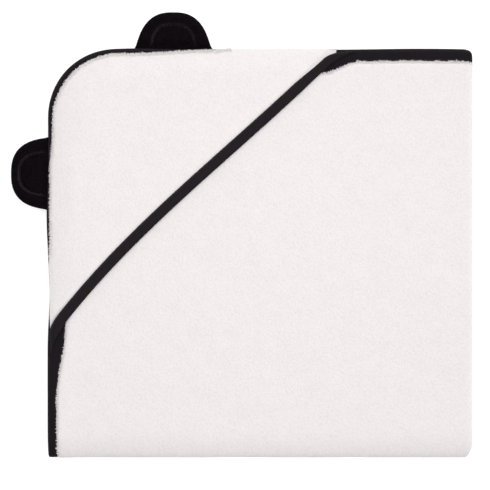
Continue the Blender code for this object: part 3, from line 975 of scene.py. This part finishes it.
def make_edge_loops(context):
    """The terry loops that flop over the inner edge of the tape."""
    scene = context.scene
    tape, cloth, hood = scene.towel_tape, scene.towel_cloth, scene.towel_hood
    points, inward = towel_outline(cloth.corner_radius)
    rng = np.random.default_rng(41)
    shape, faces = loop_shape()
    flats, heights = [], []
    for spacing, setback, lift in EDGE_LANES:
        at, place, side, forward = spaced(points, inward, spacing * MM)
        inset = tape_width(place[:, 0], place[:, 1]) + MM * (setback + rng.normal(0, 0.35, len(at)))
        inset += 0.4 * MM * soft_noise(at, at * 0, 0.006, 42)
        place = place + side * inset[:, None] + forward * rng.normal(0, 0.4 * MM, len(at))[:, None]
        out, across = pointing_out(forward, side, rng, 0.55)
        rise = tape.half + lift * MM + rng.normal(0, 0.08 * MM, len(at))
        flat, height = lay_copies(shape, place, out, across, loop_sizes(rng, len(at)))
        flats.append(flat)
        heights.append(height + rise[:, None])
    flat, height = np.concatenate(flats), np.concatenate(heights)
    lying = ramp(flat[..., 1], DOWN, DOWN + BOTTOM_BEND)
    height -= lying * np.maximum(height - TERRY / 2, 0)
    folded = fold_cloth(flat[..., 0], flat[..., 1], height)
    root = flat[:, 0]
    seen = root[:, 0] < STRAIGHT + 0.4 * SIDE_BEND
    bare = (root[:, 0] + root[:, 1] > hood.leg - 4 * MM) | (root[:, 1] > DOWN)
    level = folded[..., 2] - HINGE_Z
    kept = seen & bare & (np.abs(level).min(axis=1) > 0.12 * MM) & (np.ptp(np.sign(level), axis=1) == 0)
    points, uv = folded[kept].reshape(-1, 3), flat[kept].reshape(-1, 2)
    faces = repeat_faces(faces, len(shape), kept.sum())
    piece = new_object("edge_loops", points, faces, terry_finish(context), uv)
    return split_at_fold(check_outward(piece))


# ---- The hood ----
def bezier(share, start, near, far, end):
    """Points of a curve from start to end with two handles."""
    share = np.asarray(share)[:, None]
    rest = 1 - share
    return rest**3 * start + 3 * rest**2 * share * near + 3 * rest * share**2 * far + share**3 * end


def hood_curve(share):
    """The hood's free edge at shares of its length: points, and directions towards the hood corner."""
    hood = bpy.context.scene.towel_hood
    corner = np.array([LEFT, TOP])
    start, end = corner + [hood.leg, 0.0], corner - [0.0, hood.leg]
    square = np.array([-1.0, 1.0]) / math.sqrt(2)
    first = start + (end - start) / 3 + square * hood.bow_top
    second = start + (end - start) * 2 / 3 + square * hood.bow_side
    place = bezier(share, start, first, second, end)
    share = np.asarray(share)[:, None]
    rest = 1 - share
    along = rest**2 * (first - start) + 2 * rest * share * (second - first) + share**2 * (end - second)
    along /= np.linalg.norm(along, axis=1, keepdims=True)
    return place, np.stack([along[:, 1], -along[:, 0]], axis=-1)


def hood_sewn_line(count, ends):
    """The hood's sewn sides, from the top end round the corner to the side end: points and inward."""
    hood = bpy.context.scene.towel_hood
    radius = hood.corner_radius
    run_top, run_side = ends[0] - (LEFT + radius), (TOP - radius) - ends[1]
    arc = radius * math.pi / 2
    at = np.linspace(0, 1, count) * (run_top + arc + run_side)
    angle = np.clip((at - run_top) / radius, 0, math.pi / 2)
    inward = np.stack([np.sin(angle), -np.cos(angle)], axis=-1)
    x = LEFT + radius + np.maximum(run_top - at, 0)
    y = TOP - radius - np.maximum(at - run_top - arc, 0)
    line = np.stack([x, y], axis=-1) - radius * inward
    from_corner = np.abs(at - run_top - arc / 2) - arc / 2
    on_side = ramp(at - run_top - arc, -0.020, 0.020)
    bare = on_side - 0.5 * (1 - on_side)  # along the top the hood's cloth covers the tape's edge
    ear_end = 0.106 + 0.028 * on_side  # how far past the corner the bare tape of an ear reaches
    corner_end = 0.080 - 0.028 * on_side
    inset = hood.sliver * bare + hood.ear_sliver * ramp(from_corner, ear_end, ear_end - 0.020)
    inset -= 0.2 * on_side * hood.ear_sliver
    inset += hood.corner_sliver * ramp(from_corner, corner_end, 0.005)
    inset += 1.5 * MM * ramp(at[-1] - at, 0.022, 0.004)
    inset += 0.30 * MM * soft_noise(at, at * 0, 0.020, 52)
    line = line + inward * inset[:, None]
    line[:, 0] += hood_end_pull(np.maximum(line[:, 0] - LEFT, 0.0), TOP - line[:, 1])
    return line, inward


def line_distance(x, y, line):
    """Distance from points to a finely divided line, in slices that keep memory small."""
    flat = np.stack([np.ravel(x), np.ravel(y)], axis=-1)
    slices = np.array_split(flat, 40)
    nearest = [np.linalg.norm(part[:, None] - line[None], axis=2).min(axis=1) for part in slices]
    return np.concatenate(nearest).reshape(np.shape(x))


HOOD_SHARES = (0.030, 0.970)  # the part of the free edge that the hood's cloth has
HOOD_TAPE_GREYING = 0.32  # least share of the tape's lighter edge colour all over the hood's tape, which makes it greyer than the edge's
BARE_TOP, BARE_SIDE = 0.168, 0.190  # how far from the corner tape shows outside the hood


def hood_ends():
    free, _ = hood_curve(np.array(HOOD_SHARES))
    return free[0, 0], free[1, 1]


def make_hood_panel(context):
    scene = context.scene
    tape, cloth, hood = scene.towel_tape, scene.towel_cloth, scene.towel_hood
    columns, rows = 190, 74
    free, inward = hood_curve(np.linspace(*HOOD_SHARES, columns))
    free = free + inward * 1.5 * MM
    sewn, _ = hood_sewn_line(columns, hood_ends())
    step = (0.5 - 0.5 * np.cos(np.linspace(0, math.pi, rows)))[:, None, None]
    plan = free[None] * (1 - step) + sewn[None] * step
    x, y = plan[..., 0], plan[..., 1]
    from_free = line_distance(x, y, hood_curve(np.linspace(0, 1, 900))[0])
    from_sewn = line_distance(x, y, hood_sewn_line(1200, hood_ends())[0])
    half = terry_half(from_free, tape.hood_width)
    rounding = quarter_round(from_sewn, hood.edge_round)
    bumps = uneven(x + 3.0, y + 3.0) * cloth.relief * ramp(from_free, 0.008, 0.014)
    bumps *= ramp(from_sewn, 0, 0.004)
    puff = swell(from_free, tape.hood_width, cloth.plump)
    settle = 0.35 * MM * ramp(from_sewn, 0.010, 0.0)
    lip = 0.7 * MM
    seat = HOOD_MIDDLE - half - settle
    droop = hood.droop * ramp(from_sewn, hood.droop_width, -hood.droop_width)
    over = seat + lip + (half * 2 - lip + settle - droop) * rounding + bumps + puff
    under = np.minimum(seat, over - lip / 2)
    points = [np.stack([x, y, z], axis=-1).reshape(-1, 3) for z in (over, under)]
    uv = np.tile(np.stack([x, y], axis=-1).reshape(-1, 2), (2, 1))
    faces = sheet_faces(rows, columns)
    piece = new_object("hood_sheet", np.concatenate(points), faces, terry_finish(context), uv)
    finish_piece(piece, "white_terry", "hood_panel")
    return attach(check_outward(piece), "hood_half")


def smooth_join(start, start_way, end, end_way, reach, count):
    """A curve from start to end that leaves along start_way and arrives along end_way."""
    near, far = start + start_way * reach, end - end_way * reach
    return bezier(np.linspace(0, 1, count), start, near, far, end)


def hood_tape_line(tape):
    """The fold of the hood's tape, which turns at both ends to lie along the towel's edges.

    Gives its points, the directions towards the hood corner, the widths and how far the nearer end is.
    """
    share = np.linspace(0.055, 0.925, 130)
    middle, inward = hood_curve(share)
    narrowed = 0.80 + 0.20 * ramp(share, 0.05, 0.15)  # it is pulled narrower near the top end
    centre = middle + inward * (tape.hood_width * narrowed / 2)[:, None]
    ways = np.stack([-inward[:, 1], inward[:, 0]], axis=-1)
    leg = bpy.context.scene.towel_hood.leg
    top_end = np.array([LEFT + leg + 9.0 * MM, TOP - 2.2 * MM])
    side_end = np.array([LEFT + 3.2 * MM, TOP - leg - 6.5 * MM])
    first = smooth_join(top_end, np.array([-1.0, 0.0]), centre[0], ways[0], 0.0062, 24)
    last = smooth_join(centre[-1], ways[-1], side_end, np.array([0.0, -1.0]), 0.0130, 24)
    line = np.concatenate([first[:-1], centre, last[1:]])
    along = lengths_along(line)
    way = np.gradient(line, along, axis=0)
    way /= np.linalg.norm(way, axis=1, keepdims=True)
    corner_side = np.stack([way[:, 1], -way[:, 0]], axis=-1)
    from_top, from_side = along, along[-1] - along
    width = tape.hood_width * (0.25 + 0.75 * ramp(from_top, 0.0, 0.028))
    width *= 0.80 + 0.20 * ramp(from_top, 0.030, 0.068)
    width *= 0.08 + 0.92 * ramp(from_side, 0.0, 0.027)
    return line - corner_side * (width / 2)[:, None], corner_side, width, np.minimum(from_top, from_side)


def end_slimming(from_end):
    """How much of its thickness the hood's tape keeps near an end, and how much lower it lies."""
    return 0.45 + 0.73 * ramp(from_end, 0.0, 0.012), 1.5 * MM * ramp(from_end, 0.020, 0.0)


def make_hood_tape(context):
    tape = context.scene.towel_tape
    edge, corner_side, width, from_end = hood_tape_line(tape)
    along = lengths_along(edge)
    distance, height, wear = tape_section(width, tape, highlight_on_lip=True)
    uv = strip_uv(along, distance, height)
    slim, lower = end_slimming(from_end[:, None])
    height = height * slim + HOOD_MIDDLE - lower
    height = height + 0.12 * MM * soft_noise(along[:, None], distance, 0.014, 51)
    flat = edge[:, None] + corner_side[:, None] * distance[..., None]
    faces = ring_faces(*distance.shape)
    piece = new_object("hood_tape", with_heights(flat, height), faces, tape_finish(context), uv)
    set_painted_highlight(piece, np.maximum(wear, HOOD_TAPE_GREYING))
    finish_piece(piece, "black_tape", "hood_binding")
    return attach(check_outward(piece), "hood_half")


def make_hood_stitches(context):
    tape = context.scene.towel_tape
    edge, corner_side, width, from_end = hood_tape_line(tape)
    line = edge + corner_side * (width - tape.inset)[:, None]
    along = lengths_along(line)
    at, place, side, forward = spaced(line, corner_side, tape.stitch + tape.gap)
    shape, faces = stitch_shape()
    size = np.tile([tape.stitch, tape.thread_size, 0.8 * tape.thread_size], (len(at), 1))
    flat, height = lay_copies(shape, place, forward, side, size)
    near = np.interp(at, along, from_end)
    slim, lower = end_slimming(near)
    level = HOOD_MIDDLE - lower + (tape.half + 0.8 * tape.crown) * slim + 0.08 * MM
    kept = near > 4 * MM
    points = with_heights(flat[kept], (height + level[:, None])[kept])
    faces = repeat_faces(faces, len(shape), kept.sum())
    piece = new_object("hood_stitches", points, faces, thread_finish(context))
    finish_piece(piece, "black_thread", "hood_stitching")
    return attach(check_outward(piece), "hood_half")


def make_hood_loops(context):
    """The loops along the hood's sewn sides, which flop over the tape where it shows."""
    line, inward = hood_sewn_line(700, hood_ends())
    rng = np.random.default_rng(43)
    shape, faces = loop_shape()
    flats, heights = [], []
    for spacing, setback, lift in HOOD_LANES:
        at, place, side, forward = spaced(line, inward, spacing * MM)
        back = MM * (setback + rng.normal(0, 0.30, len(at)))
        place = place + side * back[:, None] + forward * rng.normal(0, 0.3 * MM, len(at))[:, None]
        out, across = pointing_out(forward, side, rng, 0.6)
        flat, height = lay_copies(shape, place, out, across, loop_sizes(rng, len(at)))
        level = TOP_FACE + MM * (lift + rng.normal(0, 0.12, len(at)))
        over_tape = (place[:, 0] < LEFT + BARE_TOP) & (place[:, 1] > TOP - BARE_SIDE)
        flats.append(flat[over_tape])
        heights.append((height + level[:, None])[over_tape])
    flat, height = np.concatenate(flats), np.concatenate(heights)
    points = with_heights(flat, height)
    faces = repeat_faces(faces, len(shape), len(flat))
    piece = new_object("hood_loops", points, faces, terry_finish(context), flat.reshape(-1, 2))
    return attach(check_outward(piece), "hood_half")


# ---- The ears ----
ARC_TAPER = 0.05  # share of its width that the stitched arc loses to its tip


def ear_size(name, ears, size):
    """One of the sizes that differ between the ears: width, taper or arc."""
    return getattr(ears, name.replace("ear", size))


def narrowing(v, reach, taper):
    """What is left of an ear's width at a height above its root: it flares out at the root."""
    return 1 - taper * np.clip(v / reach, 0, 1) ** 0.6


def outline_share(u, v, half_width, reach, ears, taper):
    """0 at the middle of an ear's root, 1 on an outline of that half width and reach."""
    power = ears.roundness
    across = np.abs(u / (half_width * narrowing(v, reach, taper))) ** power
    return (across + np.abs(np.maximum(v, 0) / reach) ** power) ** (1 / power)


def outline_arc(half_width, reach, ears, taper, count):
    """Points of such an outline, from one end of the root over the tip to the other."""
    angles = np.linspace(0, math.pi, count)
    power = 2 / ears.roundness
    u = half_width * np.sign(np.cos(angles)) * np.abs(np.cos(angles)) ** power
    v = reach * np.abs(np.sin(angles)) ** power
    return np.stack([u * narrowing(v, reach, taper), v], axis=-1)


def ear_level(v, ears):
    """Height of the ear's middle: it leaves the taped edge and rises to the seam's height."""
    caught = TOP_FACE - TERRY / 2
    return caught + (EAR_MIDDLE - caught) * ramp(v, 0.5 * MM, 8 * MM)


def ear_half(name, u, v, ears, side):
    """Half the ear's thickness: seam, plump rim, groove and softer middle; and the mask of the painted
    highlight along its ridge.
    """
    width, taper = ear_size(name, ears, "width"), ear_size(name, ears, "taper")
    share = outline_share(u, v, width / 2, ears.reach, ears, taper)
    from_edge = (1 - share) * ears.reach
    reach = ear_size(name, ears, "arc")
    inside_arc = (1 - outline_share(u, v, ears.arc_half, reach, ears, ARC_TAPER)) * reach
    rise = quarter_round(from_edge, 7 * MM)
    full = ears.plump + (ears.middle - ears.plump) * ramp(inside_arc, -1 * MM, 3 * MM)
    full = full + 0.22 * MM * soft_noise(u, v + side, 0.011, 61)
    half = ears.seam + (full - ears.seam) * rise
    groove = hill(inside_arc, 0.0, 1.5 * MM)
    half = half - groove * np.maximum(half - ears.groove, 0)
    half = ears.root + (half - ears.root) * ramp(v, 1 * MM, 10 * MM)
    # mask of the painted highlight: a lighter line just outside the stitched arc
    ridge = hill(inside_arc, -1.5 * MM, 0.9 * MM) * ramp(v, 2 * MM, 6 * MM)
    return half, ridge


def ear_plan(name, ears, rings=44, around=112, reach=1.0):
    """Rings over the ear's flat shape, from the middle out: u along the root, v away from it."""
    half_width = ear_size(name, ears, "width") / 2
    taper = ear_size(name, ears, "taper")
    arc = outline_arc(half_width, ears.reach, ears, taper, round(around * 0.66))
    bottom = np.linspace(-half_width, half_width, round(around * 0.34))
    root = np.stack([bottom, np.full_like(bottom, -ears.tuck)], axis=-1)
    outline = np.concatenate([arc, root])
    centre = np.array([0.0, 9 * MM])
    share = np.linspace(0.02, reach, rings)[:, None, None]
    plan = centre + (outline[None] - centre) * share
    return plan[..., 0], plan[..., 1]


def place_ear(name, u, v, z):
    """Points of the ear's own plan, set out from the middle of its root on the towel's edge."""
    hinge = JOINTS[name + "_bend"]["pos_m"]
    stray = 0.4 * MM
    if name == "top_ear":
        return np.stack([hinge[0] + stray + u, TOP + v, z], axis=-1).reshape(-1, 3)
    return np.stack([LEFT - v, hinge[1] + stray + u, z], axis=-1).reshape(-1, 3)


def blend_ear(piece):
    """Bake the piece's transform into its points."""
    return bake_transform(piece)


def ear_skin(name, u, v, first, second):
    """Points of a closed skin: rings from one pole out to the rim and back, and their grid's shape."""
    rows = np.concatenate([first, second[::-1]])
    u, v = np.concatenate([u, u[::-1]]), np.concatenate([v, v[::-1]])
    return place_ear(name, u, v, rows), rows.shape


def make_ear_face(context, name, side):
    """One plush face of an ear, a thin shell: side is 1 for the front and -1 for the back."""
    ears = context.scene.towel_ears
    u, v = ear_plan(name, ears)
    half, ridge = ear_half(name, u, v, ears, side)
    gap = 0.10 * MM
    outer = ear_level(v, ears) + side * np.maximum(half, gap + 0.2 * MM)
    inner = ear_level(v, ears) + side * np.maximum(half - ears.cloth, gap)
    points, shape = ear_skin(name, u, v, outer, inner)
    label = name + ("_front" if side > 0 else "_back")
    piece = new_object(label + "_plush", points, ring_faces(*shape), plush_finish(context))
    # the painted highlight along the ridge, on the outer skin only
    set_painted_highlight(piece, np.concatenate([ridge, np.zeros_like(ridge)]))
    finish_piece(piece, "black_plush", label)
    return blend_ear(check_outward(piece))


def make_ear_wadding(context, name):
    ears = context.scene.towel_ears
    u, v = ear_plan(name, ears, rings=24, around=72, reach=0.92)
    half, _ = ear_half(name, u, v, ears, 0)
    inside = np.maximum(half - ears.cloth - 0.25 * MM, 0.08 * MM)
    level = ear_level(v, ears)
    points, shape = ear_skin(name, u, v, level + inside, level - inside)
    piece = new_object(name + "_filling", points, ring_faces(*shape), wadding_finish(context))
    finish_piece(piece, "wadding", name + "_wadding")
    return blend_ear(check_outward(piece))


def make_ear_stitches(context, name):
    """The stitches of the inner arc, which show on both faces."""
    ears, tape = context.scene.towel_ears, context.scene.towel_tape
    line = outline_arc(ears.arc_half, ear_size(name, ears, "arc"), ears, ARC_TAPER, 400)
    way = np.gradient(line, axis=0)
    way /= np.maximum(np.linalg.norm(way, axis=1, keepdims=True), 1e-9)
    inward = np.stack([-way[:, 1], way[:, 0]], axis=-1)
    _, place, side, forward = spaced(line, inward, tape.stitch + tape.gap)
    kept = place[:, 1] > 5 * MM
    place, side, forward = place[kept], side[kept], forward[kept]
    shape, faces = stitch_shape()
    size = np.tile([tape.stitch, tape.thread_size, tape.thread_size], (len(place), 1))
    flat, height = lay_copies(shape, place, forward, side, size)
    level = ear_level(flat[..., 1], ears)
    half, _ = ear_half(name, flat[..., 0], flat[..., 1], ears, 1)
    sides = [level + face * (half + 0.05 * MM) + height for face in (1, -1)]
    u, v = np.tile(flat[..., 0], (2, 1)), np.tile(flat[..., 1], (2, 1))
    points = place_ear(name, u, v, np.concatenate(sides))
    faces = repeat_faces(faces, len(shape), 2 * len(place))
    piece = new_object(name + "_stitches", points, faces, thread_finish(context))
    finish_piece(piece, "black_thread", name + "_stitching")
    return blend_ear(check_outward(piece))


# ---- Operators ----
class TOWEL_OT_panel(bpy.types.Operator):
    """Fold the terry panel in four"""

    bl_idname = "towel.panel"
    bl_label = "Terry Panel"

    def execute(self, context):
        make_panel(context)
        return {"FINISHED"}


class TOWEL_OT_edge_tape(bpy.types.Operator):
    """Fold the black tape over the panel's edge, with its stitches"""

    bl_idname = "towel.edge_tape"
    bl_label = "Edge Tape"

    def execute(self, context):
        make_edge_tape(context)
        make_edge_stitches(context)
        return {"FINISHED"}


class TOWEL_OT_edge_loops(bpy.types.Operator):
    """Let the terry's loops flop over the tape's inner edge"""

    bl_idname = "towel.edge_loops"
    bl_label = "Edge Loops"

    def execute(self, context):
        make_edge_loops(context)
        return {"FINISHED"}


class TOWEL_OT_hood(bpy.types.Operator):
    """Lay the hood over its corner, with the loops along its sewn sides"""

    bl_idname = "towel.hood"
    bl_label = "Hood"

    def execute(self, context):
        make_hood_panel(context)
        make_hood_loops(context)
        return {"FINISHED"}


class TOWEL_OT_hood_tape(bpy.types.Operator):
    """Fold the black tape over the hood's free edge, with its stitches"""

    bl_idname = "towel.hood_tape"
    bl_label = "Hood Tape"

    def execute(self, context):
        make_hood_tape(context)
        make_hood_stitches(context)
        return {"FINISHED"}


class TOWEL_OT_ears(bpy.types.Operator):
    """Make the two padded ears"""

    bl_idname = "towel.ears"
    bl_label = "Ears"

    def execute(self, context):
        for name in ("top_ear", "side_ear"):
            make_ear_wadding(context, name)
            make_ear_face(context, name, 1)
            make_ear_face(context, name, -1)
            make_ear_stitches(context, name)
        return {"FINISHED"}


FILM_WIDTH = 36.0  # of the camera, in millimetres
BRIGHT_WAY = (0.72, 0.69, 0.0)  # towards the brighter side of the sky


class TOWEL_OT_stage(bpy.types.Operator):
    """Set the floor, the lights and the camera"""

    bl_idname = "towel.stage"
    bl_label = "Stage"

    def execute(self, context):
        studio = context.scene.towel_studio
        clear_selection()
        bpy.ops.mesh.primitive_plane_add(size=8.0, location=(0, 0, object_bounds()[0].z - 0.1 * MM))
        floor = context.object
        floor.name = "floor"
        material, _, shader = new_finish("Floor", 0.9, 0.1)
        shader.inputs["Base Color"].default_value = opaque(studio.floor)
        shader.inputs["Emission Color"].default_value = (1.0, 1.0, 1.0, 1.0)
        shader.inputs["Emission Strength"].default_value = studio.floor_glow
        floor.data.materials.append(material)
        floor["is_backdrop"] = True
        world = bpy.data.worlds.new("studio")
        world.use_nodes = True
        tree = world.node_tree
        background = tree.nodes["Background"]
        background.inputs["Color"].default_value = (1.0, 1.0, 1.0, 1.0)
        way = put(tree, "ShaderNodeTexCoord").outputs["Generated"]
        inputs = {0: way, 1: BRIGHT_WAY}
        towards = put(tree, "ShaderNodeVectorMath", inputs, operation="DOT_PRODUCT").outputs["Value"]
        leaning = calculate(tree, "MULTIPLY_ADD", towards, studio.lean, 1.0)
        strength = calculate(tree, "MULTIPLY", leaning, studio.sky)
        tree.links.new(strength, background.inputs["Strength"])
        context.scene.world = world
        bpy.ops.object.light_add(type="AREA", location=tuple(studio.key_place))
        key = context.object
        key.name = "key_light"
        key.data.shape = "DISK"
        key.data.size = studio.key_size
        key.data.energy = studio.key
        aim = Vector((LEFT + RIGHT, TOP + HINGE_Y, 0)) / 2 - key.location
        key.rotation_euler = aim.to_track_quat("-Z", "Y").to_euler()
        distance = studio.view_width * studio.lens / FILM_WIDTH
        place = (studio.centre[0], studio.centre[1], TOP_FACE + distance)
        bpy.ops.object.camera_add(location=place, rotation=(0, 0, 0))
        camera = context.object
        camera.data.lens = studio.lens
        camera.data.clip_start = 0.01
        context.scene.camera = camera
        context.scene.view_settings.view_transform = "Standard"
        return {"FINISHED"}


OPERATORS = (
    TOWEL_OT_panel,
    TOWEL_OT_edge_tape,
    TOWEL_OT_edge_loops,
    TOWEL_OT_hood,
    TOWEL_OT_hood_tape,
    TOWEL_OT_ears,
    TOWEL_OT_stage,
)


class TOWEL_PT_panel(bpy.types.Panel):
    """The steps of the hooded towel, in the order they are made"""

    bl_idname = "TOWEL_PT_panel"
    bl_label = "Hooded Baby Towel"
    bl_space_type = "VIEW_3D"
    bl_region_type = "UI"
    bl_category = "Towel"

    def draw(self, context):
        for operator in OPERATORS:
            self.layout.operator(operator.bl_idname)


GROUPS = {
    "towel_cloth": TowelCloth,
    "towel_tape": TowelTape,
    "towel_hood": TowelHood,
    "towel_ears": TowelEars,
    "towel_studio": TowelStudio,
}
CLASSES = (*GROUPS.values(), *OPERATORS, TOWEL_PT_panel)


def register():
    for item in CLASSES:
        bpy.utils.register_class(item)
    for name, group in GROUPS.items():
        setattr(bpy.types.Scene, name, PointerProperty(type=group))


def unregister():
    for name in GROUPS:
        delattr(bpy.types.Scene, name)
    for item in reversed(CLASSES):
        bpy.utils.unregister_class(item)


def main():
    register()
    for operator in OPERATORS:
        group, name = operator.bl_idname.split(".")
        getattr(getattr(bpy.ops, group), name)()


if __name__ == "__main__":
    main()
